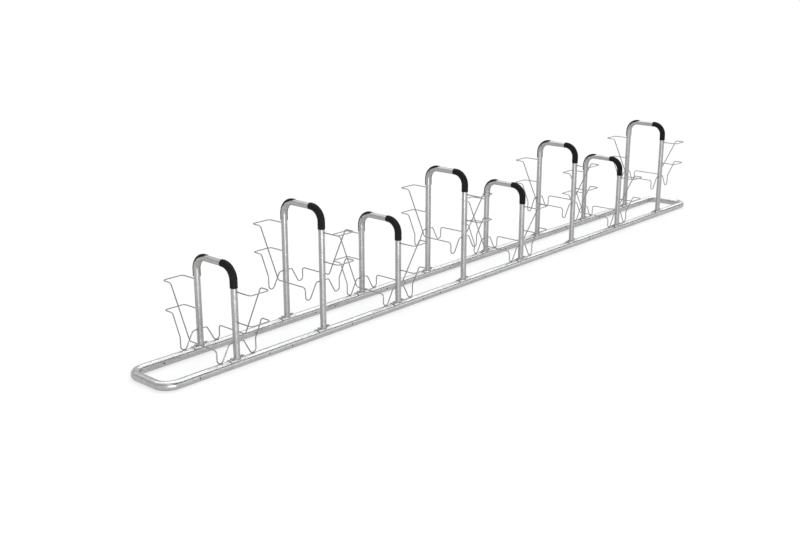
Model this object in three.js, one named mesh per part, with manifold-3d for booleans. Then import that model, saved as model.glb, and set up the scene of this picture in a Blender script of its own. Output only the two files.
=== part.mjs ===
// Two tier bike rack. Eight hoops of round tube, low and high in turn, are bolted on a closed base frame of
// larger tube. Each hoop holds a wheel on either side, in two bent wires whose dips are the tyre's cradles,
// and has a rubber bumper on each of its bends.
// Millimetres: X runs along the rack, Y across it, Z is up, and the ground is at Z = 0.
import * as THREE from 'three';
import { mergeVertices } from 'three/addons/utils/BufferGeometryUtils.js';
import Module from 'manifold-3d';

// Layout
const HOOP_COUNT = 8;
const HOOP_PITCH = 750;
const HOOP_SPREAD = 360;
const END_OVERHANG = 545;
const LOW_HOOP_HEIGHT = 680;
const TIER_RISE = 225;

// Tubes, wire and bumper sections
const RAIL_DIAMETER = 60.3;
const RAIL_BEND_RADIUS = 90;
const HOOP_DIAMETER = 42.4;
const HOOP_BEND_RADIUS = 90;
const WIRE_DIAMETER = 8;
const WIRE_BEND_RADIUS = 24;
const BUMPER_WALL = 3.5;

// Wheel holders, for a low hoop: the places of the wires' axes
const UPPER_LOOP_HEIGHT = 500;
const LOWER_LOOP_HEIGHT = 302;
const LOOP_REACH = 150;
const LOOP_WIDTH = 156;
const LOOP_SIDE_LENGTH = 84;
const CROSS_RUN_HEIGHT = 154;
const CROSS_RUN_END = 82;
const CRADLE_RADIUS = 26;
const CRADLE_SHOULDER_HEIGHT = 170;
const CRADLE_SHOULDER_OFFSET = 56;

// Bumpers: how far they pass the bend, and the arc of the tube that they cover
const BUMPER_LEG_REACH = 49;
const BUMPER_BAR_REACH = 17;
const BUMPER_ARC_START = -42 * THREE.MathUtils.DEG2RAD;
const BUMPER_ARC = 176 * THREE.MathUtils.DEG2RAD;

// Feet: a curved saddle under each upright, bolted through on either side of it
const SADDLE_LENGTH = 126;
const SADDLE_THICKNESS = 5;
const SADDLE_FACETS = 5;
const BOLT_OFFSET = 42;
const BOLT_ACROSS_FLATS = 17;
const BOLT_HEAD_HEIGHT = 7;

// Hole drilled across the middle of each bend of a hoop
const HOOP_HOLE_DIAMETER = 9;

// Holes drilled across both rails, at two places beside each hoop
const RAIL_HOLE_DIAMETER = 10;
const RAIL_HOLE_BEFORE_HOOP = 310;
const RAIL_HOLE_AFTER_HOOP = 245;

// Clearance between pieces that touch, and how far a cutter passes what it cuts
const SEAT_GAP = 0.3;
const CUT_OVERRUN = 20;

// Facets
const RAIL_SIDES = 16;
const HOOP_SIDES = 12;
const WIRE_SIDES = 5;
const HOLE_SIDES = 6;
const BOLT_SIDES = 6;
const RAIL_BEND_STEP = 30 * THREE.MathUtils.DEG2RAD;
const HOOP_BEND_STEP = 30 * THREE.MathUtils.DEG2RAD;
const WIRE_BEND_STEP = 67.5 * THREE.MathUtils.DEG2RAD;

const railRadius = RAIL_DIAMETER / 2;
const hoopRadius = HOOP_DIAMETER / 2;
const wireRadius = WIRE_DIAMETER / 2;
const halfSpread = HOOP_SPREAD / 2;
const lastHoopX = (HOOP_COUNT - 1) / 2 * HOOP_PITCH;

const steel = { color: 0xb9bbba, roughness: 0.38, metalness: 1 };
const wireSteel = { color: 0xa9abaa, roughness: 0.42, metalness: 1 };
const rubber = { color: 0x1b1b1c, roughness: 0.62, metalness: 0 };

const wasm = await Module();
wasm.setup();

// A path of straight runs and round bends, sampled at chosen stations. With a plane normal the section keeps
// its second axis along that normal, so that the facets of a bent tube stay in line with its plane.
class BentPath extends THREE.Curve {
  constructor(stations, planeNormal = null) {
    super();
    this.stations = stations;
    this.planeNormal = planeNormal;
  }

  get steps() {
    return this.stations.length - 1;
  }

  getPoint(share) {
    return this.stations[Math.round(share * this.steps)].point.clone();
  }

  getPointAt(share) {
    return this.getPoint(share);
  }

  getTangentAt(share, target = new THREE.Vector3()) {
    return target.copy(this.stations[Math.round(share * this.steps)].tangent);
  }

  computeFrenetFrames(segments, closed) {
    if (!this.planeNormal) {
      return super.computeFrenetFrames(segments, closed);
    }
    const tangents = this.stations.map((station) => station.tangent.clone());
    const binormals = tangents.map(() => this.planeNormal.clone());
    const normals = tangents.map((tangent) => this.planeNormal.clone().cross(tangent));
    return { tangents, normals, binormals };
  }
}

// Rounds every inner corner of a polyline and returns the stations of the path. Each corner is a point with
// its own bend radius, and a bend has a station at least every bendStep of its turn.
function bentStations(corners, bendStep) {
  const points = corners.map((corner) => corner.point);
  const directions = points.slice(1).map((point, i) => point.clone().sub(points[i]).normalize());
  const stations = [{ point: points[0], tangent: directions[0] }];
  for (let i = 1; i < points.length - 1; i++) {
    const before = directions[i - 1];
    const after = directions[i];
    const turn = before.angleTo(after);
    const radius = corners[i].radius;
    const axis = before.clone().cross(after).normalize();
    const start = points[i].clone().addScaledVector(before, -radius * Math.tan(turn / 2));
    const centre = start.clone().addScaledVector(axis.clone().cross(before), radius);
    const count = Math.ceil(turn / bendStep);
    for (let k = 0; k <= count; k++) {
      const angle = turn * k / count;
      const point = start.clone().sub(centre).applyAxisAngle(axis, angle).add(centre);
      stations.push({ point, tangent: before.clone().applyAxisAngle(axis, angle) });
    }
  }
  stations.push({ point: points.at(-1), tangent: directions.at(-1) });
  return stations;
}

function corner(x, y, z, radius) {
  return { point: new THREE.Vector3(x, y, z), radius };
}

// The point at an angle on the outline of a regular section whose flats lie at the given distance from its
// centre. One flat faces angle 0.
function flatSidedPoint(flatDistance, sides, angle) {
  const sector = 2 * Math.PI / sides;
  const offset = angle - Math.round(angle / sector) * sector;
  const radius = flatDistance / Math.cos(offset);
  return new THREE.Vector2(radius * Math.cos(angle), radius * Math.sin(angle));
}

// The outline between two angles: its corners there, and its two ends.
function flatSidedArc(flatDistance, sides, start, end) {
  const sector = 2 * Math.PI / sides;
  const angles = [start];
  for (let k = Math.ceil(start / sector - 1 / 2); (k + 1 / 2) * sector < end; k++) {
    if ((k + 1 / 2) * sector > start) {
      angles.push((k + 1 / 2) * sector);
    }
  }
  angles.push(end);
  return angles.map((angle) => flatSidedPoint(flatDistance, sides, angle));
}

function flatSidedSection(flatDistance, sides) {
  const angles = Array.from({ length: sides }, (_, k) => (k + 1 / 2) * 2 * Math.PI / sides);
  return new THREE.Shape(angles.map((angle) => flatSidedPoint(flatDistance, sides, angle)));
}

function sweep(section, path) {
  return new THREE.ExtrudeGeometry(section, { extrudePath: path, steps: path.steps, curveSegments: 1 });
}

function toSolid(geometry) {
  const bare = geometry.clone();
  bare.deleteAttribute('normal');
  bare.deleteAttribute('uv');
  const merged = mergeVertices(bare);
  return new wasm.Manifold(new wasm.Mesh({
    numProp: 3,
    vertProperties: new Float32Array(merged.attributes.position.array),
    triVerts: new Uint32Array(merged.index.array),
  }));
}

function toGeometry(solid) {
  const mesh = solid.getMesh();
  const geometry = new THREE.BufferGeometry();
  geometry.setAttribute('position', new THREE.BufferAttribute(mesh.vertProperties, mesh.numProp));
  geometry.setIndex(new THREE.BufferAttribute(mesh.triVerts, 1));
  geometry.computeVertexNormals();
  return geometry;
}

function namedMesh(name, geometry, look) {
  const mesh = new THREE.Mesh(geometry, new THREE.MeshStandardMaterial(look));
  mesh.name = name;
  return mesh;
}

// A straight bar of a section, centred on the origin along Y. The section's first axis is X and its second Z.
function barAcross(section, length) {
  const bar = new THREE.ExtrudeGeometry(section, { depth: length, bevelEnabled: false, curveSegments: 1 });
  bar.translate(0, 0, -length / 2);
  return bar.rotateX(Math.PI / 2);
}

// The same along X, where the section's first axis is Y.
function barAlong(section, length) {
  return barAcross(section, length).rotateZ(Math.PI / 2);
}

// Base frame: one half of the closed loop of tube, a long U that ends at the rack's middle, with the holes
// drilled across its two rails. The side is 1 for the right half and -1 for the left.
function baseHalf(side) {
  const middle = side * SEAT_GAP / 2;
  const end = side * (lastHoopX + END_OVERHANG);
  const corners = [
    corner(middle, -side * halfSpread, railRadius, 0),
    corner(end, -side * halfSpread, railRadius, RAIL_BEND_RADIUS),
    corner(end, side * halfSpread, railRadius, RAIL_BEND_RADIUS),
    corner(middle, side * halfSpread, railRadius, 0),
  ];
  const path = new BentPath(bentStations(corners, RAIL_BEND_STEP), new THREE.Vector3(0, 0, 1));
  let solid = toSolid(sweep(flatSidedSection(railRadius, RAIL_SIDES), path));
  const drillLength = HOOP_SPREAD + RAIL_DIAMETER + 2 * CUT_OVERRUN;
  const drill = toSolid(barAcross(flatSidedSection(RAIL_HOLE_DIAMETER / 2, HOLE_SIDES), drillLength));
  for (let i = 0; i < HOOP_COUNT; i++) {
    for (const offset of [-RAIL_HOLE_BEFORE_HOOP, RAIL_HOLE_AFTER_HOOP]) {
      const x = hoopX(i) + offset;
      if (x * side > 0) {
        solid = solid.subtract(drill.translate([x, 0, railRadius]));
      }
    }
  }
  return toGeometry(solid);
}

function hoopX(index) {
  return index * HOOP_PITCH - lastHoopX;
}

function hoopTopAxis(lift) {
  return LOW_HOOP_HEIGHT + lift - hoopRadius;
}

// Hoop: a tube bent twice, with its two feet shaped to the rail and a curved saddle welded round each foot.
// The hole across each bend sits on the axis of the bend's middle run.
function hoopGeometry(lift) {
  const top = hoopTopAxis(lift);
  const holeInset = HOOP_BEND_RADIUS * (1 - Math.cos(Math.PI / 4) * Math.cos(HOOP_BEND_STEP / 2));
  const drillLength = HOOP_DIAMETER + 2 * CUT_OVERRUN;
  const drill = toSolid(barAlong(flatSidedSection(HOOP_HOLE_DIAMETER / 2, HOLE_SIDES), drillLength));
  const corners = [
    corner(0, -halfSpread, railRadius, 0),
    corner(0, -halfSpread, top, HOOP_BEND_RADIUS),
    corner(0, halfSpread, top, HOOP_BEND_RADIUS),
    corner(0, halfSpread, railRadius, 0),
  ];
  const path = new BentPath(bentStations(corners, HOOP_BEND_STEP), new THREE.Vector3(1, 0, 0));
  let solid = toSolid(sweep(flatSidedSection(hoopRadius, HOOP_SIDES), path));
  for (const side of [-1, 1]) {
    solid = solid.add(toSolid(saddleBlock().translate(0, side * halfSpread, railRadius)));
    solid = solid.subtract(toSolid(railCutter().translate(0, side * halfSpread, railRadius)));
    solid = solid.subtract(drill.translate([0, side * (halfSpread - holeInset), top - holeInset]));
    for (const offset of [-BOLT_OFFSET, BOLT_OFFSET]) {
      const seat = RAIL_DIAMETER + SEAT_GAP + SADDLE_THICKNESS;
      solid = solid.add(toSolid(boltHead().translate(offset, side * halfSpread, seat)));
    }
  }
  return toGeometry(solid);
}

// The saddle before the rail is cut out of it: a bar along X from the rail's axis up to the saddle's outside,
// which follows the rail's facets.
function saddleBlock() {
  const halfArc = SADDLE_FACETS * Math.PI / RAIL_SIDES;
  const outside = railRadius + SEAT_GAP + SADDLE_THICKNESS;
  const rim = flatSidedArc(outside, RAIL_SIDES, Math.PI / 2 - halfArc, Math.PI / 2 + halfArc);
  return barAlong(new THREE.Shape([...rim, new THREE.Vector2(0, 0)]), SADDLE_LENGTH);
}

function railCutter() {
  return barAlong(flatSidedSection(railRadius + SEAT_GAP, RAIL_SIDES), SADDLE_LENGTH + 2 * CUT_OVERRUN);
}

// Hex head of a bolt that holds a saddle down, standing at the origin on the saddle's top flat. It is one
// body with the hoop, as the 32 of them are too many for pieces of their own.
function boltHead() {
  const cornerRadius = BOLT_ACROSS_FLATS / 2 / Math.cos(Math.PI / BOLT_SIDES);
  const height = BOLT_HEAD_HEIGHT + SEAT_GAP;
  const head = new THREE.CylinderGeometry(cornerRadius, cornerRadius, height, BOLT_SIDES);
  head.rotateX(Math.PI / 2);
  return head.translate(0, 0, height / 2 - SEAT_GAP);
}

// Bumper: an open shell of rubber round the rear bend of a low hoop, from the upright to the top bar. Its
// arc is counted from the hoop's outer side towards +X.
function bumperGeometry() {
  const top = hoopTopAxis(0);
  const corners = [
    corner(0, halfSpread, top - HOOP_BEND_RADIUS - BUMPER_LEG_REACH, 0),
    corner(0, halfSpread, top, HOOP_BEND_RADIUS),
    corner(0, halfSpread - HOOP_BEND_RADIUS - BUMPER_BAR_REACH, top, 0),
  ];
  const path = new BentPath(bentStations(corners, HOOP_BEND_STEP), new THREE.Vector3(1, 0, 0));
  const arcEnd = BUMPER_ARC_START + BUMPER_ARC;
  const inside = hoopRadius + SEAT_GAP;
  const outer = flatSidedArc(inside + BUMPER_WALL, HOOP_SIDES, BUMPER_ARC_START, arcEnd);
  const inner = flatSidedArc(inside, HOOP_SIDES, BUMPER_ARC_START, arcEnd).reverse();
  return sweep(new THREE.Shape([...outer, ...inner].map((p) => new THREE.Vector2(-p.x, p.y))), path);
}

// Height of the wire's axis where the tyre sits: on a low hoop the wire's underside just clears the rail.
const cradleFloor = RAIL_DIAMETER + SEAT_GAP + wireRadius;

// The tyre's cradle at one upright: the wire comes down its outer arm, turns in one bend at the bottom and
// rises on a slant to a shoulder, which leads it level into the side of the upright. The bend is tangent to
// both arms, so their corner lies below the ground.
function cradleCorners(y) {
  const bendX = CRADLE_RADIUS - LOOP_WIDTH;
  const bendZ = cradleFloor + CRADLE_RADIUS;
  const toShoulderX = -CRADLE_SHOULDER_OFFSET - bendX;
  const toShoulderZ = CRADLE_SHOULDER_HEIGHT - bendZ;
  const reach = Math.hypot(toShoulderX, toShoulderZ);
  const slope = Math.atan2(toShoulderZ, toShoulderX) + Math.asin(CRADLE_RADIUS / reach);
  const apexDepth = (LOOP_WIDTH - CRADLE_SHOULDER_OFFSET) * Math.tan(slope);
  return [
    corner(-LOOP_WIDTH, y, CRADLE_SHOULDER_HEIGHT - apexDepth, CRADLE_RADIUS),
    corner(-CRADLE_SHOULDER_OFFSET, y, CRADLE_SHOULDER_HEIGHT, WIRE_BEND_RADIUS),
    corner(-hoopRadius - SEAT_GAP, y, CRADLE_SHOULDER_HEIGHT, 0),
  ];
}

// The level loop behind the rear upright, which both wires start with: out from the upright, across, and
// forward again beside the wheel.
function loopCorners(height) {
  const far = halfSpread + LOOP_REACH;
  return [
    corner(0, halfSpread + hoopRadius + SEAT_GAP, height, 0),
    corner(0, far, height, WIRE_BEND_RADIUS),
    corner(-LOOP_WIDTH, far, height, WIRE_BEND_RADIUS),
    corner(-LOOP_WIDTH, far - LOOP_SIDE_LENGTH, height, WIRE_BEND_RADIUS),
  ];
}

function wireGeometry(corners) {
  const path = new BentPath(bentStations(corners, WIRE_BEND_STEP));
  return sweep(flatSidedSection(wireRadius * Math.cos(Math.PI / WIRE_SIDES), WIRE_SIDES), path);
}

// Upper wire: from its loop down to a level run beside the wheel, and the cradle at the front upright.
function upperWireGeometry() {
  return wireGeometry([
    ...loopCorners(UPPER_LOOP_HEIGHT),
    corner(-LOOP_WIDTH, CROSS_RUN_END, CROSS_RUN_HEIGHT, WIRE_BEND_RADIUS),
    corner(-LOOP_WIDTH, -halfSpread, CROSS_RUN_HEIGHT, WIRE_BEND_RADIUS),
    ...cradleCorners(-halfSpread),
  ]);
}

// Lower wire: from its loop straight down to the cradle at the rear upright.
function lowerWireGeometry() {
  return wireGeometry([
    ...loopCorners(LOWER_LOOP_HEIGHT),
    corner(-LOOP_WIDTH, halfSpread, CROSS_RUN_HEIGHT, WIRE_BEND_RADIUS),
    ...cradleCorners(halfSpread),
  ]);
}

// One hoop with what it carries. The wheel holder of the left side and the rear bumper are turned half round
// for the right side and the front bumper.
function hoopGroup(index) {
  const lift = index % 2 * TIER_RISE;
  const number = index + 1;
  const group = new THREE.Group();
  group.position.x = hoopX(index);
  group.add(namedMesh(`hoop_${number}`, hoopGeometry(lift), steel));
  const turns = [['left', 'rear', 0], ['right', 'front', Math.PI]];
  for (const [side, end, turn] of turns) {
    const half = new THREE.Group();
    half.position.z = lift;
    half.rotation.z = turn;
    half.add(namedMesh(`bumper_${number}_${end}`, bumperGeometry(), rubber));
    half.add(namedMesh(`upper_wire_${number}_${side}`, upperWireGeometry(), wireSteel));
    half.add(namedMesh(`lower_wire_${number}_${side}`, lowerWireGeometry(), wireSteel));
    group.add(half);
  }
  return group;
}

const rack = new THREE.Group();
rack.add(namedMesh('base_frame_left', baseHalf(-1), steel));
rack.add(namedMesh('base_frame_right', baseHalf(1), steel));
for (let i = 0; i < HOOP_COUNT; i++) {
  rack.add(hoopGroup(i));
}

export default rack;
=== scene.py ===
"""Two tier bicycle rack of galvanised tube: a closed base frame and eight hoops across it.

Each hoop has bent-wire wheel holders on both sides and a rubber bumper round each of its bends. Metres: X
runs along the rack, Y across it, Z is up, and the ground is at Z = 0.
"""

import bpy
import numpy as np
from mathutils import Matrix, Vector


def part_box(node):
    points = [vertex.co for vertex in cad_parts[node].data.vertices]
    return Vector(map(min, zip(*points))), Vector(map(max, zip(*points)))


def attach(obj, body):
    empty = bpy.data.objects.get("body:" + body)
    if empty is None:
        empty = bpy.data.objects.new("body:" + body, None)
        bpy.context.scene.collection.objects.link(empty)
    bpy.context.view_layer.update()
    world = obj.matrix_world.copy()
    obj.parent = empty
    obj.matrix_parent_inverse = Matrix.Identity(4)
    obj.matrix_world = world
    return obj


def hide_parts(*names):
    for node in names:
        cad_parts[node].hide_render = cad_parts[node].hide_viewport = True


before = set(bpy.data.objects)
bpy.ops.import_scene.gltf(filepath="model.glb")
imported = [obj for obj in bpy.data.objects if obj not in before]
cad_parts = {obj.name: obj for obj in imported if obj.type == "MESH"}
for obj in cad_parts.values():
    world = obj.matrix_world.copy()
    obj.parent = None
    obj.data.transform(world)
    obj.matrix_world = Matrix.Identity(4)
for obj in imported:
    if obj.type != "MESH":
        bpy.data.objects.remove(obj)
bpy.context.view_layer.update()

scene = bpy.context.scene
scene.view_settings.view_transform = "Standard"

# The camera stands low at the rack's front left, where the photograph was taken from.
# Its place and angles follow from the lines of the rails and hoops.
image_width_pixels = 800
focal_length_pixels = 1084.5
sensor_width_mm = 36
camera_place = (-6.644, -5.141, 2.535)
camera_yaw = np.radians(48.15)
camera_pitch = np.radians(-16.59)

camera = bpy.data.objects.new("camera", bpy.data.cameras.new("camera"))
camera.data.sensor_width = sensor_width_mm
camera.data.lens = focal_length_pixels / image_width_pixels * sensor_width_mm
camera.location = camera_place
camera.rotation_euler = (np.pi / 2 + camera_pitch, 0, -camera_yaw)
scene.collection.objects.link(camera)
scene.camera = camera


# Base frame: a closed loop of thick round tube, bent at its four corners and made in two halves that meet at
# the middle. It is hot-dip galvanised after bending, and round holes are drilled across both of its rails.
rail_bend_radius = 0.090
rail_columns = 64
rail_bend_steps = 20
rail_hole_radius = 0.005
rail_hole_before_hoop = 0.310
rail_hole_after_hoop = 0.245
hole_reach_cells = 3
hole_clear_cells = 3.5
sharp_edge_angle = np.radians(32)

left_low, left_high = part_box("base_frame_left")
right_low, right_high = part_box("base_frame_right")
rail_radius = (left_high.z - left_low.z) / 2
rail_y = left_high.y - rail_radius
frame_end_x = right_high.x - rail_radius

hoop_numbers = range(1, 9)
hoop_boxes = {number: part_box(f"hoop_{number}") for number in hoop_numbers}
hoop_x = {number: (low.x + high.x) / 2 for number, (low, high) in hoop_boxes.items()}


def turned(vector, axis, angles):
    """A vector turned about a unit axis by each angle t: v cos t + (a x v) sin t + a (a . v)(1 - cos t)."""
    cosines, sines = np.cos(angles)[:, None], np.sin(angles)[:, None]
    return vector * cosines + np.cross(axis, vector) * sines + axis * (axis @ vector) * (1 - cosines)


def bent_line(corners, bend_radii, bend_steps, side):
    """Centre line of a bent tube: points, directions and side vectors, each of shape (stations, 3).

    A straight run joins one bend's end to the next one's start. Through a bend of radius R the point is
    centre - R (inward turned by t), with t from 0 to the bend's angle. The direction and the side vector
    turn with it about the bend's axis, so the section doesn't twist.
    """
    corners, side = np.asarray(corners, float), np.asarray(side, float)
    runs = np.diff(corners, axis=0)
    ways = runs / np.linalg.norm(runs, axis=1, keepdims=True)
    radii = np.broadcast_to(bend_radii, len(corners) - 2)
    points, directions, sides = [corners[:1]], [ways[:1]], [side[None]]
    for corner, radius, before, after in zip(corners[1:-1], radii, ways, ways[1:]):
        turn = np.arccos(before @ after)
        axis = np.cross(before, after) / np.sin(turn)
        inward = np.cross(axis, before)
        start = corner - before * radius * np.tan(turn / 2)
        angles = np.linspace(0, turn, bend_steps + 1)
        points.append(start + radius * (inward - turned(inward, axis, angles)))
        directions.append(turned(before, axis, angles))
        sides.append(turned(side, axis, angles))
        side = sides[-1][-1]
    points.append(corners[-1:])
    directions.append(ways[-1:])
    sides.append(side[None])
    return [np.concatenate(part) for part in (points, directions, sides)]


def lengths_along(line):
    """Length along a line at each of its stations: the running sum of the steps between them."""
    steps = np.linalg.norm(np.diff(line[0], axis=0), axis=1)
    return np.concatenate([[0], np.cumsum(steps)])


def on_tube(line, lengths, radii, angles):
    """Points on a round tube: point(s) + radius (side(s) cos p + across(s) sin p), for arrays of s and p."""
    known = lengths_along(line)
    point, direction, side = (
        np.stack([np.interp(lengths, known, column) for column in values.T], axis=-1) for values in line
    )
    side = side / np.linalg.norm(side, axis=-1, keepdims=True)
    across = np.cross(direction, side)
    across = across / np.linalg.norm(across, axis=-1, keepdims=True)
    radii, angles = np.asarray(radii)[..., None], np.asarray(angles)[..., None]
    return point + radii * (side * np.cos(angles) + across * np.sin(angles))


def between_loops(first, second):
    """Quads from one closed loop of vertex numbers to the next. An array's last axis runs round its loop."""
    corners = (first, np.roll(first, -1, -1), np.roll(second, -1, -1), second)
    return np.stack(corners, axis=-1).reshape(-1, 4)


def end_fan(ring, middle):
    """Triangles that close a ring of vertex numbers round one vertex in its middle."""
    return np.stack([ring, np.full_like(ring, middle), np.roll(ring, -1)], axis=-1)


def closed_rings(rings):
    """A closed surface from rings of shape (rows, columns, 3): quads between them and a fan on each end."""
    rows, columns = rings.shape[:2]
    number = np.arange(rows * columns).reshape(rows, columns)
    vertices = np.concatenate([rings.reshape(-1, 3), rings[[0, -1]].mean(axis=1)])
    fans = [end_fan(number[0], rows * columns), end_fan(number[-1, ::-1], rows * columns + 1)]
    return vertices, [between_loops(number[:-1], number[1:]), *fans]


def drilled_tube(line, radius, columns, hole_lengths, hole_radius, first_rows=None, last_rows=None):
    """A closed tube with round holes drilled through it, square to its line and to its side vectors.

    Its surface is on_tube(s, p). At each hole a square of cells is left out of the grid on both sides of the
    tube. A ring halfway leads from the square's edge to the circle s = s0 + a cos t, p = p0 + (a / R) sin t,
    and a bore joins the two circles. Rows given for the ends stand before the first and after the last.
    """
    reach = hole_reach_cells
    cell = 2 * np.pi * radius / columns
    hole_rows_at = np.asarray(hole_lengths)[:, None] + cell * np.arange(-reach, reach + 1)
    known = lengths_along(line)
    clear = (np.abs(known[:, None] - np.asarray(hole_lengths)) > cell * hole_clear_cells).all(axis=1)
    lengths = np.sort(np.concatenate([known[clear], hole_rows_at.ravel()]))
    angles = np.linspace(0, 2 * np.pi, columns, endpoint=False)
    rings = on_tube(line, lengths[:, None] + 0 * angles, radius, angles + 0 * lengths[:, None])
    skipped = 0 if first_rows is None else len(first_rows)
    rings = np.concatenate([rows for rows in (first_rows, rings, last_rows) if rows is not None])

    vertices, (walls, *fans) = closed_rings(rings)
    kept = np.ones((len(rings) - 1, columns), bool)
    steps = np.arange(-reach, reach)
    square_rows = np.concatenate([np.full(2 * reach, -reach), steps, np.full(2 * reach, reach), -steps])
    square_columns = np.concatenate([steps, np.full(2 * reach, reach), -steps, np.full(2 * reach, -reach)])
    turn = np.arctan2(square_columns, square_rows)
    round_square = np.arange(8 * reach)
    opposite = (2 * reach - round_square) % (8 * reach)
    faces, extra, count = [], [], len(vertices)
    for hole_length in hole_lengths:
        middle_row = skipped + np.argmin(np.abs(lengths - hole_length))
        circles = []
        for middle_column in (columns // 4, 3 * columns // 4):
            kept[middle_row - reach:middle_row + reach, middle_column - reach:middle_column + reach] = False
            edge = (middle_row + square_rows) * columns + middle_column + square_columns
            circle_s, circle_p = hole_radius * np.cos(turn), hole_radius / radius * np.sin(turn)
            ring_s = (circle_s + cell * square_rows) / 2
            ring_p = (circle_p + cell / radius * square_columns) / 2
            ring = count + round_square
            circle = ring + 8 * reach
            count += 16 * reach
            s = hole_length + np.stack([ring_s, circle_s])
            p = angles[middle_column] + np.stack([ring_p, circle_p])
            extra.append(on_tube(line, s, radius, p).reshape(-1, 3))
            faces += [between_loops(edge, ring), between_loops(ring, circle)]
            circles.append(circle)
        faces.append(between_loops(circles[0], circles[1][opposite]))
    return np.concatenate([vertices, *extra]), [walls[kept.ravel()], *fans, *faces]


def new_piece(name, parts, material, slot, *nodes):
    """One smooth mesh object in place of CAD nodes, from parts: each its vertices and arrays of faces."""
    starts = np.cumsum([0] + [len(vertices) for vertices, _ in parts])
    vertices = np.concatenate([vertices for vertices, _ in parts])
    faces = [array + start for (_, arrays), start in zip(parts, starts) for array in arrays]
    corners = np.concatenate([array.ravel() for array in faces])
    sizes = np.concatenate([np.full(len(array), array.shape[1]) for array in faces])
    mesh = bpy.data.meshes.new(name)
    mesh.vertices.add(len(vertices))
    mesh.vertices.foreach_set("co", vertices.astype(np.float32).ravel())
    mesh.loops.add(len(corners))
    mesh.loops.foreach_set("vertex_index", corners.astype(np.int32))
    mesh.polygons.add(len(sizes))
    mesh.polygons.foreach_set("loop_start", (np.cumsum(sizes) - sizes).astype(np.int32))
    mesh.update(calc_edges=True)
    mesh.shade_smooth()
    mesh.set_sharp_from_angle(angle=sharp_edge_angle)
    mesh.materials.append(material)
    piece = bpy.data.objects.new(name, mesh)
    scene.collection.objects.link(piece)
    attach(piece, "root")
    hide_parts(*nodes)


def maths(tree, operation, *values):
    """Output of a new maths node. Each value is a number or another node's output."""
    node = tree.nodes.new("ShaderNodeMath")
    node.operation = operation
    for socket, value in zip(node.inputs, values):
        if isinstance(value, (int, float)):
            socket.default_value = value
        else:
            tree.links.new(value, socket)
    return node.outputs[0]


spangle_contrast = 0.12
bloom_contrast = 0.20
coat_roughness_spread = 0.16
blooms_per_metre = 9
bloom_detail = 5
bloom_roughness = 0.6
ripples_per_metre = 160
ripple_detail = 3
pattern_mean = 0.5


def zinc_coat_group():
    """Shader node group: how a hot-dip zinc coat changes over the steel.

    Spangle is a faint patchwork of crystal cells, bloom is a slow cloud of duller zinc, and height is the
    fine ripple of the frozen coat. A pattern less its mean, times an amount, is its swing. Colour is the
    zinc's colour times 1 + both swings, and roughness is the zinc's own plus a swing of either pattern.
    """
    group = bpy.data.node_groups.new("zinc_coat", "ShaderNodeTree")
    for direction, kind, names in (
        ("INPUT", "NodeSocketVector", ("Position",)),
        ("INPUT", "NodeSocketColor", ("Colour",)),
        ("INPUT", "NodeSocketFloat", ("Roughness", "Roughness Spread", "Spangle Cells per Metre",
                                      "Spangle Contrast", "Bloom Contrast")),
        ("OUTPUT", "NodeSocketColor", ("Colour",)),
        ("OUTPUT", "NodeSocketFloat", ("Roughness", "Height")),
    ):
        for name in names:
            group.interface.new_socket(name=name, in_out=direction, socket_type=kind)
    add, wire = group.nodes.new, group.links.new
    given, made = add("NodeGroupInput"), add("NodeGroupOutput")

    spangle = add("ShaderNodeTexVoronoi")
    wire(given.outputs["Position"], spangle.inputs["Vector"])
    wire(given.outputs["Spangle Cells per Metre"], spangle.inputs["Scale"])
    cell_tone = add("ShaderNodeSeparateColor")
    wire(spangle.outputs["Color"], cell_tone.inputs["Color"])

    bloom = add("ShaderNodeTexNoise")
    bloom.inputs["Scale"].default_value = blooms_per_metre
    bloom.inputs["Detail"].default_value = bloom_detail
    bloom.inputs["Roughness"].default_value = bloom_roughness
    wire(given.outputs["Position"], bloom.inputs["Vector"])

    def swing(pattern, amount):
        """A pattern less its mean, times the input of that name."""
        from_mean = maths(group, "SUBTRACT", pattern, pattern_mean)
        return maths(group, "MULTIPLY", from_mean, given.outputs[amount])

    swings = maths(group, "ADD", swing(cell_tone.outputs["Red"], "Spangle Contrast"),
                   swing(bloom.outputs["Fac"], "Bloom Contrast"))
    tone = maths(group, "ADD", swings, 1)
    colour = add("ShaderNodeVectorMath")
    colour.operation = "SCALE"
    wire(given.outputs["Colour"], colour.inputs[0])
    wire(tone, colour.inputs["Scale"])
    wire(colour.outputs[0], made.inputs["Colour"])

    swings = maths(group, "ADD", swing(bloom.outputs["Fac"], "Roughness Spread"),
                   swing(cell_tone.outputs["Green"], "Roughness Spread"))
    wire(maths(group, "ADD", swings, given.outputs["Roughness"]), made.inputs["Roughness"])

    ripple = add("ShaderNodeTexNoise")
    ripple.inputs["Scale"].default_value = ripples_per_metre
    ripple.inputs["Detail"].default_value = ripple_detail
    wire(given.outputs["Position"], ripple.inputs["Vector"])
    wire(ripple.outputs["Fac"], made.inputs["Height"])
    return group


zinc_coat = zinc_coat_group()


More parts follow.
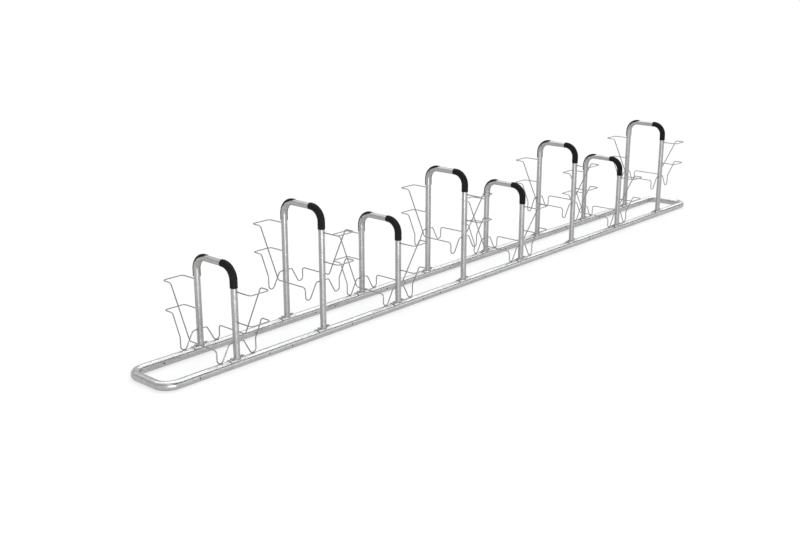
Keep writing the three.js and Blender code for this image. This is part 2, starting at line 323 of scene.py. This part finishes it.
def galvanised_steel(name, colour, roughness, cells_per_metre, ripple_depth):
    """Galvanised steel: a metal whose colour, roughness and fine ripple come from the zinc coat."""
    material = bpy.data.materials.new(name)
    material.use_nodes = True
    tree = material.node_tree
    shader = tree.nodes["Principled BSDF"]
    shader.inputs["Metallic"].default_value = 1
    place = tree.nodes.new("ShaderNodeTexCoord")
    coat = tree.nodes.new("ShaderNodeGroup")
    coat.node_tree = zinc_coat
    coat.inputs["Colour"].default_value = (*colour, 1)
    coat.inputs["Roughness"].default_value = roughness
    coat.inputs["Spangle Cells per Metre"].default_value = cells_per_metre
    coat.inputs["Spangle Contrast"].default_value = spangle_contrast
    coat.inputs["Bloom Contrast"].default_value = bloom_contrast
    coat.inputs["Roughness Spread"].default_value = coat_roughness_spread
    ripple = tree.nodes.new("ShaderNodeBump")
    ripple.inputs["Strength"].default_value = 1
    ripple.inputs["Distance"].default_value = ripple_depth
    tree.links.new(place.outputs["Object"], coat.inputs["Position"])
    tree.links.new(coat.outputs["Colour"], shader.inputs["Base Color"])
    tree.links.new(coat.outputs["Roughness"], shader.inputs["Roughness"])
    tree.links.new(coat.outputs["Height"], ripple.inputs["Height"])
    tree.links.new(ripple.outputs["Normal"], shader.inputs["Normal"])
    return material


# The base frame is the same galvanised steel as the hoops, but it gets its own lighter copy of the zinc
# colour. The extra lightness is painted light that stands in for the brighter reflections along the rails'
# faces.
rail_zinc_painted_lighter = galvanised_steel("galvanised_rail_painted_lighter", colour=(0.420, 0.419, 0.418), roughness=0.28,
                             cells_per_metre=60, ripple_depth=0.00006)


def base_half(side):
    """The half of the base frame on one side of the middle, 1 for the right and -1 for the left."""
    middle_x = right_low.x if side > 0 else left_high.x
    end_x = side * frame_end_x
    corners = [(middle_x, -side * rail_y, rail_radius), (end_x, -side * rail_y, rail_radius),
               (end_x, side * rail_y, rail_radius), (middle_x, side * rail_y, rail_radius)]
    line = bent_line(corners, rail_bend_radius, rail_bend_steps, (0, 0, 1))
    offsets = (-rail_hole_before_hoop, rail_hole_after_hoop)
    beside_hoops = [x + offset for x in hoop_x.values() for offset in offsets]
    from_middle = [abs(x - middle_x) for x in beside_hoops if x * side > 0]
    whole = lengths_along(line)[-1]
    hole_lengths = sorted(from_middle) + sorted(whole - length for length in from_middle)
    return drilled_tube(line, rail_radius, rail_columns, hole_lengths, rail_hole_radius)


new_piece("steel_base_frame_left", [base_half(-1)], rail_zinc_painted_lighter, "galvanised_tube", "base_frame_left")
new_piece("steel_base_frame_right", [base_half(1)], rail_zinc_painted_lighter, "galvanised_tube", "base_frame_right")


# Hoops: each is one round galvanised tube bent twice, with a hole drilled across each bend, perhaps for a
# pin of the rubber bumper. The ends are shaped to the saddles on the rails and welded to them all round.
hoop_radius = 0.0212
hoop_bend_radius = 0.090
hoop_columns = 48
hoop_bend_steps = 24
bumper_hole_radius = 0.0045
saddle_gap = 0.0003
saddle_thickness = 0.005
weld_width = 0.0045
weld_ripple = 0.0004
weld_ripples_round = 44
weld_rows_share = np.array([0, 0.12, 0.3, 0.5, 0.7, 0.88, 1, 1.25])
foot_run_top = 0.090

saddle_outside = rail_radius + saddle_gap + saddle_thickness


def foot_rows(x, y, angles, across_sign):
    """Rows of a hoop's foot from the saddle upwards: the tube's round, widened by the weld at its end.

    While a row's height h over the saddle is under the weld's width w, its radius is r + w - h, and to that
    comes a bead of height b: 4 b h (w - h) / w^2 times 1 + sin(n p) at the angle p, for n ripples round the
    foot. The saddle's own round gives the height below it, its axis + sqrt(R^2 - v^2).
    """
    heights = weld_width * weld_rows_share
    flare = np.clip(weld_width - heights, 0, None)
    bead = np.clip(heights * (weld_width - heights), 0, None) / weld_width**2 * 4 * weld_ripple
    ripple = np.sin(weld_ripples_round * angles)
    radii = hoop_radius + flare[:, None] + bead[:, None] * (1 + ripple)
    u, v = radii * np.cos(angles), across_sign * radii * np.sin(angles)
    z = rail_radius + np.sqrt(saddle_outside**2 - v**2) + heights[:, None]
    return np.stack([x + u, y + v, z], axis=-1)


def hoop_tube(number):
    """A hoop's tube from the front foot, over its two bends and down to the rear foot."""
    x, top = hoop_x[number], hoop_boxes[number][1].z - hoop_radius
    corners = [(x, -rail_y, foot_run_top), (x, -rail_y, top), (x, rail_y, top), (x, rail_y, foot_run_top)]
    line = bent_line(corners, hoop_bend_radius, hoop_bend_steps, (0, -1, 0))
    leg = top - hoop_bend_radius - foot_run_top
    bend_middle = leg + hoop_bend_radius * np.pi / 4
    whole = lengths_along(line)[-1]
    angles = np.linspace(0, 2 * np.pi, hoop_columns, endpoint=False)
    front = foot_rows(x, -rail_y, angles - np.pi / 2, 1)
    rear = foot_rows(x, rail_y, angles - np.pi / 2, -1)[::-1]
    return drilled_tube(line, hoop_radius, hoop_columns, [bend_middle, whole - bend_middle],
                        bumper_hole_radius, front, rear)


tube_zinc = galvanised_steel("galvanised_tube", colour=(0.390, 0.387, 0.378), roughness=0.36,
                             cells_per_metre=60, ripple_depth=0.00006)
for number in hoop_numbers:
    new_piece(f"hoop_{number}_tube", [hoop_tube(number)], tube_zinc, "galvanised_tube", f"hoop_{number}")


# Saddles: a short half pipe of galvanised steel plate welded under each foot. It lies over the rail, its
# edges are eased, and a bolt goes down through each end of it into the rail.
saddle_length = 0.126
saddle_half_arc = np.radians(56.25)
saddle_edge_radius = 0.0012
saddle_arc_steps = 24
saddle_edge_steps = 5


def saddle_plate(x, y):
    """A bent plate with rounded edges, as rings across the rail carried along it.

    A ring runs along the outer round, round one edge, back along the inner round and round the other edge.
    Each of its points is the rail's axis + radius (sin q, cos q), and the end rings are drawn in along a
    quarter round.
    """
    quarter = np.linspace(0, np.pi / 2, saddle_edge_steps)
    inset = saddle_edge_radius * (1 - np.sin(quarter))
    forward = saddle_edge_radius * (1 - np.cos(quarter))
    along = np.concatenate([forward - saddle_length / 2, (saddle_length / 2 - forward)[::-1]])
    inset = np.concatenate([inset, inset[::-1]])[:, None]
    outer, inner = saddle_outside - inset, rail_radius + saddle_gap + inset
    half_arc = saddle_half_arc - inset / saddle_outside
    share = np.linspace(-1, 1, saddle_arc_steps)
    edge = np.linspace(0, np.pi, saddle_edge_steps + 2)[1:-1]
    middle, half_wall = (outer + inner) / 2, (outer - inner) / 2
    edge_radius = middle + half_wall * np.cos(edge)
    edge_angle = half_arc + half_wall * np.sin(edge) / middle
    radii = np.concatenate([outer + 0 * share, edge_radius, inner + 0 * share, edge_radius[:, ::-1]], axis=1)
    q = np.concatenate([half_arc * share, edge_angle, -half_arc * share, -edge_angle[:, ::-1]], axis=1)
    rings = np.stack([x + along[:, None] + 0 * q, y + radii * np.sin(q), rail_radius + radii * np.cos(q)],
                     axis=-1)
    return closed_rings(rings[:, ::-1])


for number in hoop_numbers:
    plates = [saddle_plate(hoop_x[number], y) for y in (-rail_y, rail_y)]
    new_piece(f"hoop_{number}_saddles", plates, tube_zinc, "galvanised_tube", f"hoop_{number}")


# Saddle bolts: zinc-plated hexagon heads on round washers, one at each end of a saddle, which hold it to the
# rail. The washers are bent to the saddle's round, and the heads have their corners turned off on top.
bolt_offset = 0.042
washer_radius = 0.0105
washer_thickness = 0.0014
washer_edge = 0.0003
bolt_across_flats = 0.017
bolt_top = 0.0726
bolt_chamfer = 0.0012
bolt_columns = 48
bolt_cone_shares = np.array([1.2, 1.2, 1.155, 1.08, 0.97])
bolt_drop_shares = np.array([1.2, 1, 0.5, 0])


def revolved(x, y, radii, heights, angles):
    """Rings about an upright axis at x, y: a row has a radius and a height, or arrays of them by angle."""
    radii, heights = np.broadcast_arrays(radii, heights)
    rings = np.stack([x + radii * np.cos(angles), y + radii * np.sin(angles), heights], axis=-1)
    return closed_rings(rings)


def bolt_on_washer(x, y):
    """A washer that follows the saddle, and on it a hexagon whose radius is a / cos(angle from a flat).

    The chamfer is a cone that cuts the hexagon's corners: a row's radius is the lesser of the two. The
    cone's rows are given in shares of a, half the width across flats, and their drops below the top in
    shares of the chamfer. The first row stands on the washer.
    """
    angles = np.linspace(0, 2 * np.pi, bolt_columns, endpoint=False)
    washer_rows = washer_radius - washer_edge * np.array([1, 0, 0, 1])[:, None]
    across = washer_rows * np.sin(angles)
    round_height = rail_radius + np.sqrt(saddle_outside**2 - across**2)
    flat_height = rail_radius + saddle_outside + washer_thickness
    heights = np.stack([round_height[0], round_height[1] + washer_edge,
                        0 * angles + flat_height - washer_edge, 0 * angles + flat_height])
    washer = revolved(x, y, washer_rows + 0 * angles, heights, angles)
    sector = np.pi / 3
    from_flat = angles - np.round(angles / sector) * sector
    hexagon = bolt_across_flats / 2 / np.cos(from_flat)
    rows = np.minimum(hexagon, bolt_across_flats / 2 * bolt_cone_shares[:, None])
    heights = np.concatenate([[flat_height], bolt_top - bolt_chamfer * bolt_drop_shares])[:, None]
    return [washer, revolved(x, y, rows, heights, angles)]


bolt_zinc = galvanised_steel("zinc_plated_bolt", colour=(0.30, 0.30, 0.31), roughness=0.30,
                             cells_per_metre=300, ripple_depth=0.00003)
for number in hoop_numbers:
    bolts = [part for y in (-rail_y, rail_y) for offset in (-bolt_offset, bolt_offset)
             for part in bolt_on_washer(hoop_x[number] + offset, y)]
    new_piece(f"hoop_{number}_bolts", bolts, bolt_zinc, "galvanised_tube", f"hoop_{number}")


# Wheel holders: two round galvanised wires on each side of a hoop, bent in all directions and welded to the
# uprights at both ends. Each begins with a level loop beside the tyre and ends in a cradle under it.
wire_radius = 0.004
wire_bend_radius = 0.024
wire_columns = 16
wire_bend_steps = 10
wire_weld_rows_share = np.array([1, 0.8, 0.55, 0.3, 0.1, 0])
wire_weld_radius = 0.0062
wire_weld_length = 0.0035
upper_loop_height = 0.500
lower_loop_height = 0.302
loop_reach = 0.1498
loop_width = 0.156
loop_side_length = 0.084
cross_run_height = 0.154
cross_run_end = 0.082
cradle_radius = 0.026
cradle_shoulder_height = 0.170
cradle_shoulder_offset = 0.056
cradle_floor = 2 * rail_radius + saddle_gap + wire_radius

low_hoop_top = hoop_boxes[1][1].z


def loop_corners(height):
    """Corners and bend radii of the level loop: out from the rear upright, across, and forward again."""
    far = rail_y + loop_reach
    corners = [(0, rail_y + hoop_radius, height), (0, far, height), (-loop_width, far, height),
               (-loop_width, far - loop_side_length, height)]
    return corners, [wire_bend_radius] * 3


def cradle_corners(y):
    """Corners and bend radii of the cradle at the upright at y.

    The outer arm comes down and turns in one bend at the bottom, and a slanted arm rises to the shoulder.
    Both arms are tangent to the bend, so their corner is where the slanted arm's line meets the outer one.
    """
    to_shoulder = np.array([loop_width - cradle_radius - cradle_shoulder_offset,
                            cradle_shoulder_height - cradle_floor - cradle_radius])
    slope = np.arctan2(to_shoulder[1], to_shoulder[0]) + np.arcsin(cradle_radius / np.hypot(*to_shoulder))
    apex = cradle_shoulder_height - (loop_width - cradle_shoulder_offset) * np.tan(slope)
    corners = [(-loop_width, y, apex), (-cradle_shoulder_offset, y, cradle_shoulder_height),
               (-hoop_radius, y, cradle_shoulder_height)]
    return corners, [cradle_radius, wire_bend_radius]


def wheel_wire(loop_height, run_corners, cradle_y):
    """Rings of one wire through its corners, a little wider at each end where it is welded to the tube."""
    loop, loop_radii = loop_corners(loop_height)
    cradle, cradle_radii = cradle_corners(cradle_y)
    corners = loop + run_corners + cradle
    radii = loop_radii + [wire_bend_radius] * len(run_corners) + cradle_radii
    line = bent_line(corners, radii, wire_bend_steps, (0, 0, 1))
    known = lengths_along(line)
    from_end = wire_weld_length * (1 - wire_weld_rows_share)
    lengths = np.concatenate([from_end, known[1:-1], known[-1] - from_end[::-1]])
    flare = (wire_weld_radius - wire_radius) * wire_weld_rows_share**2
    wire_radii = wire_radius + np.concatenate([flare, 0 * known[1:-1], flare[::-1]])
    angles = np.linspace(0, 2 * np.pi, wire_columns, endpoint=False)
    return on_tube(line, lengths[:, None] + 0 * angles, wire_radii[:, None] + 0 * angles,
                   angles + 0 * lengths[:, None])


wire_rings = {
    "upper": wheel_wire(upper_loop_height, [(-loop_width, cross_run_end, cross_run_height),
                                            (-loop_width, -rail_y, cross_run_height)], -rail_y),
    "lower": wheel_wire(lower_loop_height, [(-loop_width, rail_y, cross_run_height)], rail_y),
}
half_turn = {"left": 1, "rear": 1, "right": -1, "front": -1}


def on_hoop(rings, number, place):
    """Rings made for the left or rear half of a low hoop at the origin, turned and moved to their place."""
    turn = half_turn[place]
    lift = hoop_boxes[number][1].z - low_hoop_top
    return rings * (turn, turn, 1) + (hoop_x[number], 0, lift)


# The wires get a darker copy of the galvanised zinc than the tubes. The lower colour is painted shade that
# stands in for the darker look of the thin wires against their white surroundings.
wire_zinc_painted_darker = galvanised_steel("galvanised_wire", colour=(0.26, 0.26, 0.26), roughness=0.36,
                             cells_per_metre=200, ripple_depth=0.00002)
for number in hoop_numbers:
    for row, rings in wire_rings.items():
        for place in ("left", "right"):
            new_piece(f"{row}_wheel_wire_{number}_{place}", [closed_rings(on_hoop(rings, number, place))],
                      wire_zinc_painted_darker, "galvanised_wire", f"{row}_wire_{number}_{place}")


# Rubber bumpers: an open sleeve of black moulded rubber over each bend of a hoop, from the upright to the
# top bar, perhaps held by a pin through the tube. It keeps the bicycle's frame off the steel, and has
# rounded corners and soft edges.
bumper_wall = 0.0035
bumper_leg_reach = 0.049
bumper_bar_reach = 0.014
bumper_edge_stations = np.array([-0.6, 0.17, 0.5, 0.83, 1.15])
bumper_arc_starts = np.radians([-48, -56, -65, -69, -26])
bumper_arc_end = np.radians(134)
bumper_corner_radius = 0.009
bumper_thinnest_share = 1 / 12
bumper_arc_points = 34
bumper_edge_steps = 6
bumper_bend_steps = 24
row_length_digits = 7


def bumper_rings():
    """Rings of the rear bumper of a low hoop: each is a thin curved strip, closed round its two edges.

    The strip's first edge drifts round the tube between the angles given for its stations, in shares of the
    bend, and its last edge runs straight. Near an end the half width shrinks by c - sqrt(c^2 - (c - d)^2),
    d being the distance from the end and c the corner's radius. The half wall t shrinks in the same way over
    the last part as long as t.
    """
    top = low_hoop_top - hoop_radius
    corners = [(0, rail_y, top - hoop_bend_radius - bumper_leg_reach), (0, rail_y, top),
               (0, rail_y - hoop_bend_radius - bumper_bar_reach, top)]
    line = bent_line(corners, hoop_bend_radius, bumper_bend_steps, (0, 1, 0))
    known = lengths_along(line)
    half_wall = bumper_wall / 2
    corner_turn = np.linspace(0, np.pi / 2, bumper_edge_steps + 2)
    near_end = np.concatenate([half_wall * (1 - np.cos(corner_turn[:-1])),
                               bumper_corner_radius * (1 - np.cos(corner_turn[2:]))])
    near_end = np.unique(np.round(near_end, row_length_digits))
    lengths = np.unique(np.concatenate([near_end, known[1:-1], known[-1] - near_end]))
    from_end = np.minimum(lengths, known[-1] - lengths)

    def drawn_in(radius):
        """How far a corner of this radius draws the strip in at each row."""
        inside = np.clip(radius - from_end, 0, None)
        return radius - np.sqrt(radius**2 - inside**2)

    middle_radius = hoop_radius + saddle_gap + half_wall
    share_of_bend = (lengths - bumper_leg_reach) / (hoop_bend_radius * np.pi / 2)
    arc_start = np.interp(share_of_bend, bumper_edge_stations, bumper_arc_starts)[:, None]
    arc_middle, arc_half = (arc_start + bumper_arc_end) / 2, (bumper_arc_end - arc_start) / 2
    wall = np.clip(half_wall - drawn_in(half_wall), half_wall * bumper_thinnest_share, None)[:, None]
    half = arc_half - drawn_in(bumper_corner_radius)[:, None] / middle_radius
    share = np.linspace(-1, 1, bumper_arc_points)
    edge = np.linspace(0, np.pi, bumper_edge_steps + 2)[1:-1]
    edge_radius, edge_angle = middle_radius + wall * np.cos(edge), half + wall * np.sin(edge) / middle_radius
    radii = np.concatenate([middle_radius + wall + 0 * share, edge_radius, middle_radius - wall + 0 * share,
                            edge_radius[:, ::-1]], axis=1)
    angles = np.concatenate([half * share, edge_angle, -half * share, -edge_angle[:, ::-1]], axis=1)
    return on_tube(line, lengths[:, None] + 0 * angles, radii, -(arc_middle + angles))[:, ::-1]


rubber_blacks = ((0.008, 0.008, 0.0085), (0.014, 0.014, 0.0145))
rubber_roughness = (0.60, 0.74)
rubber_specular_level = 0.08
rubber_clouds_per_metre = 22
rubber_cloud_detail = 4
rubber_grains_per_metre = 1400
rubber_grain_detail = 2
rubber_grain_depth = 0.00006


def black_rubber(name):
    """Black moulded rubber: nearly even, with a fine grain and a slow change of sheen."""
    material = bpy.data.materials.new(name)
    material.use_nodes = True
    tree = material.node_tree
    shader = tree.nodes["Principled BSDF"]
    shader.inputs["Specular IOR Level"].default_value = rubber_specular_level
    place = tree.nodes.new("ShaderNodeTexCoord")
    cloud = tree.nodes.new("ShaderNodeTexNoise")
    cloud.inputs["Scale"].default_value = rubber_clouds_per_metre
    cloud.inputs["Detail"].default_value = rubber_cloud_detail
    tone = tree.nodes.new("ShaderNodeMapRange")
    tone.inputs["To Min"].default_value, tone.inputs["To Max"].default_value = rubber_roughness
    colour = tree.nodes.new("ShaderNodeValToRGB")
    for stop, black in zip(colour.color_ramp.elements, rubber_blacks):
        stop.color = (*black, 1)
    grain = tree.nodes.new("ShaderNodeTexNoise")
    grain.inputs["Scale"].default_value = rubber_grains_per_metre
    grain.inputs["Detail"].default_value = rubber_grain_detail
    bump = tree.nodes.new("ShaderNodeBump")
    bump.inputs["Distance"].default_value = rubber_grain_depth
    for texture in (cloud, grain):
        tree.links.new(place.outputs["Object"], texture.inputs["Vector"])
    tree.links.new(cloud.outputs["Fac"], tone.inputs["Value"])
    tree.links.new(tone.outputs["Result"], shader.inputs["Roughness"])
    tree.links.new(cloud.outputs["Fac"], colour.inputs["Fac"])
    tree.links.new(colour.outputs["Color"], shader.inputs["Base Color"])
    tree.links.new(grain.outputs["Fac"], bump.inputs["Height"])
    tree.links.new(bump.outputs["Normal"], shader.inputs["Normal"])
    return material


rubber = black_rubber("black_rubber")
sleeve = bumper_rings()
for number in hoop_numbers:
    for place in ("rear", "front"):
        new_piece(f"rubber_bumper_{number}_{place}", [closed_rings(on_hoop(sleeve, number, place))],
                  rubber, "black_rubber", f"bumper_{number}_{place}")


# Studio: a white floor that keeps the rack's shadow, under a world that is white round the horizon and has a
# grey ceiling and a dark strip in front. The camera sees the white alone, and the steel shows all of it.
floor_half_size = 150
floor_white = (1.0, 1.0, 1.0)
floor_glow_share = 0.72
horizon_white = (1.0, 1.0, 1.0)
ceiling_grey = (0.76, 0.765, 0.77)
ceiling_heights = (0.20, 0.30)
front_grey = (0.10, 0.10, 0.105)
front_strip_angles = np.radians([118, 127, 146, 153])
front_strip_ends = (-0.15, 0.12)
world_plain_level = 0.46


def seen_directly(tree):
    """Output that is 1 for camera, glossy and transmission rays and 0 for all others."""
    path = tree.nodes.new("ShaderNodeLightPath")
    seen = path.outputs["Is Camera Ray"]
    for ray in ("Is Glossy Ray", "Is Transmission Ray"):
        seen = maths(tree, "MAXIMUM", seen, path.outputs[ray])
    return seen


floor_mesh = bpy.data.meshes.new("floor")
floor_corners = floor_half_size * np.array([(-1, -1, 0), (1, -1, 0), (1, 1, 0), (-1, 1, 0)], float)
floor_mesh.from_pydata(floor_corners.tolist(), [], [(0, 1, 2, 3)])
floor = bpy.data.objects.new("floor", floor_mesh)
scene.collection.objects.link(floor)
floor_paint = bpy.data.materials.new("floor_paint")
floor_paint.use_nodes = True
paint = floor_paint.node_tree
paint.nodes.clear()
matt, glow = paint.nodes.new("ShaderNodeBsdfDiffuse"), paint.nodes.new("ShaderNodeEmission")
matt.inputs["Color"].default_value = (*floor_white, 1)
glow.inputs["Color"].default_value = (*floor_white, 1)
glow.inputs["Strength"].default_value = 1
both, out = paint.nodes.new("ShaderNodeMixShader"), paint.nodes.new("ShaderNodeOutputMaterial")
paint.links.new(maths(paint, "MULTIPLY", seen_directly(paint), floor_glow_share), both.inputs["Fac"])
paint.links.new(matt.outputs[0], both.inputs[1])
paint.links.new(glow.outputs[0], both.inputs[2])
paint.links.new(both.outputs[0], out.inputs["Surface"])
floor_mesh.materials.append(floor_paint)

world = bpy.data.worlds.new("studio")
world.use_nodes = True
scene.world = world
sky = world.node_tree
sky_light = sky.nodes["Background"]
way = sky.nodes.new("ShaderNodeTexCoord")
parts = sky.nodes.new("ShaderNodeSeparateXYZ")
sky.links.new(way.outputs["Generated"], parts.inputs["Vector"])


def ramp(socket, start, full):
    """Output that goes smoothly from 0 where the socket's value is start to 1 where it is full."""
    node = sky.nodes.new("ShaderNodeMapRange")
    node.interpolation_type = "SMOOTHSTEP"
    node.inputs["From Min"].default_value = min(start, full)
    node.inputs["From Max"].default_value = max(start, full)
    node.inputs["To Min"].default_value = float(start > full)
    node.inputs["To Max"].default_value = float(start < full)
    sky.links.new(socket, node.inputs["Value"])
    return node.outputs["Result"]


def layered(below, mask, colour):
    """The colour below with a flat colour over it where the mask is 1."""
    node = sky.nodes.new("ShaderNodeMix")
    node.data_type = "RGBA"
    node.inputs["B"].default_value = (*colour, 1)
    sky.links.new(mask, node.inputs["Factor"])
    if isinstance(below, tuple):
        node.inputs["A"].default_value = (*below, 1)
    else:
        sky.links.new(below, node.inputs["A"])
    return node.outputs["Result"]


angle_about_rack = maths(sky, "ARCTAN2", parts.outputs["Z"], parts.outputs["Y"])
across_strip = maths(sky, "MULTIPLY", ramp(angle_about_rack, *front_strip_angles[:2]),
                     ramp(angle_about_rack, *front_strip_angles[:1:-1]))
strip = maths(sky, "MULTIPLY", across_strip, ramp(parts.outputs["X"], *front_strip_ends))
ceiling = layered(horizon_white, ramp(parts.outputs["Z"], *ceiling_heights), ceiling_grey)
studio = layered(ceiling, strip, front_grey)
backdrop = layered(studio, sky.nodes.new("ShaderNodeLightPath").outputs["Is Camera Ray"], horizon_white)
level = sky.nodes.new("ShaderNodeMapRange")
level.inputs["To Min"].default_value = world_plain_level
level.inputs["To Max"].default_value = 1
sky.links.new(backdrop, sky_light.inputs["Color"])
sky.links.new(seen_directly(sky), level.inputs["Value"])
sky.links.new(level.outputs["Result"], sky_light.inputs["Strength"])


# Lamps: wide soft discs far away, and a low soft box in front for the bright streak down the uprights. The
# overhead disc draws the white line on the rails' tops and the side one the soft band along their fronts,
# the rear one lights the hoops' top bars, and the corner one the base frame's near corner.
lamp_colour = (0.97, 0.985, 1.0)
overhead_width = np.radians(60)
overhead_strength = 1.72
overhead_tilt = np.radians(35)
overhead_turn = np.radians(-87)
rear_width = np.radians(50)
rear_strength = 0.80
rear_tilt = np.radians(26)
rear_turn = np.radians(5)
corner_width = np.radians(36)
corner_strength = 0.20
corner_tilt = np.radians(24)
corner_turn = np.radians(145)
side_width = np.radians(30)
side_strength = 0.20
side_tilt = np.radians(81)
side_turn = np.radians(-134.6)


def wide_lamp(name, width, strength, tilt, turn):
    """A lamp far away whose disc is width across: it stands tilt off the vertical, turned about it."""
    lamp = bpy.data.objects.new(name, bpy.data.lights.new(name, "SUN"))
    lamp.data.angle = width
    lamp.data.energy = strength
    lamp.data.color = lamp_colour
    lamp.rotation_euler = (-tilt, 0, turn)
    scene.collection.objects.link(lamp)


wide_lamp("overhead_lamp", overhead_width, overhead_strength, overhead_tilt, overhead_turn)
wide_lamp("rear_lamp", rear_width, rear_strength, rear_tilt, rear_turn)
wide_lamp("corner_lamp", corner_width, corner_strength, corner_tilt, corner_turn)
wide_lamp("side_lamp", side_width, side_strength, side_tilt, side_turn)

front_box_place = (-4.2, -4.0, 0.45)
front_box_aim = (0, 0, 0.5)
front_box_size = (2.4, 0.8)
front_box_watts = 105
front_box = bpy.data.objects.new("front_box", bpy.data.lights.new("front_box", "AREA"))
front_box.data.shape = "RECTANGLE"
front_box.data.size, front_box.data.size_y = front_box_size
front_box.data.energy = front_box_watts
front_box.location = front_box_place
aim = np.subtract(front_box_aim, front_box_place)
front_box_tilt = np.arctan2(np.hypot(aim[0], aim[1]), -aim[2])
front_box_turn = np.arctan2(aim[1], aim[0]) - np.pi / 2
front_box.rotation_euler = (front_box_tilt, 0, front_box_turn)
front_box.visible_camera = False
scene.collection.objects.link(front_box)
